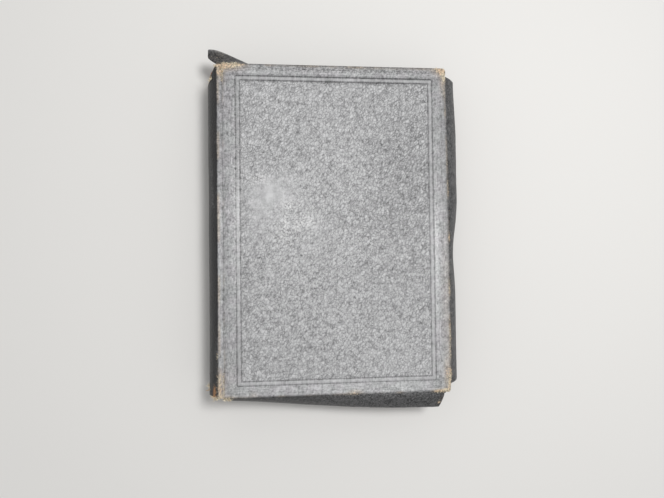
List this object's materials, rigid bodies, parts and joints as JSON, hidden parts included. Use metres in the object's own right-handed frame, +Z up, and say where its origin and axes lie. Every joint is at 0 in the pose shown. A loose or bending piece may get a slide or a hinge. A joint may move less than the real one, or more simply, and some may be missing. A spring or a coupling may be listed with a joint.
{
  "type": "leather-bound book with turned edges",
  "caption": "Small old book in limp grained leather, with a rounded spine, flaps turned over the page edges, and hinged covers.",
  "frame": {"origin": "middle of the back cover's outer face, from fold to fold, which the book rests on", "axes": "+X to the fore edge, +Y to the head, +Z up out of the front cover; the spine is on the -X side"},
  "size_m": [0.1398, 0.201, 0.029],
  "materials": {
    "cover_leather": "dark grey pebble-grain leather, rubbed pale on top, worn to tan at the corners",
    "board_card": "thin grey-brown card",
    "pages": "pages with edges stained dark red",
    "endpaper": "aged cream paper",
    "lining_paper": "brown kraft paper",
    "mull_cloth": "stiff open-weave cotton",
    "band_cloth": "sewn cotton, red and cream"
  },
  "bodies": {
    "book_block": {"text_block": "pages", "front_flyleaf": "endpaper", "back_flyleaf": "endpaper", "spine_mull": "mull_cloth", "spine_lining": "lining_paper", "head_band": "band_cloth", "tail_band": "band_cloth", "spine_leather": "cover_leather"},
    "front_cover": {"front_board": "board_card", "front_leather": "cover_leather", "front_pastedown": "endpaper"},
    "back_cover": {"back_board": "board_card", "back_leather": "cover_leather", "back_pastedown": "endpaper"}
  },
  "joints": [
    {"name": "front_cover_hinge", "type": "hinge", "parent": "book_block", "child": "front_cover", "pos_m": [-0.0603, 0, 0.0292], "axis": [0, -1, 0], "range_deg": [0, 178]},
    {"name": "back_cover_hinge", "type": "hinge", "parent": "book_block", "child": "back_cover", "pos_m": [-0.0603, 0, -0.0002], "axis": [0, 1, 0], "range_deg": [0, 178]}
  ]
}
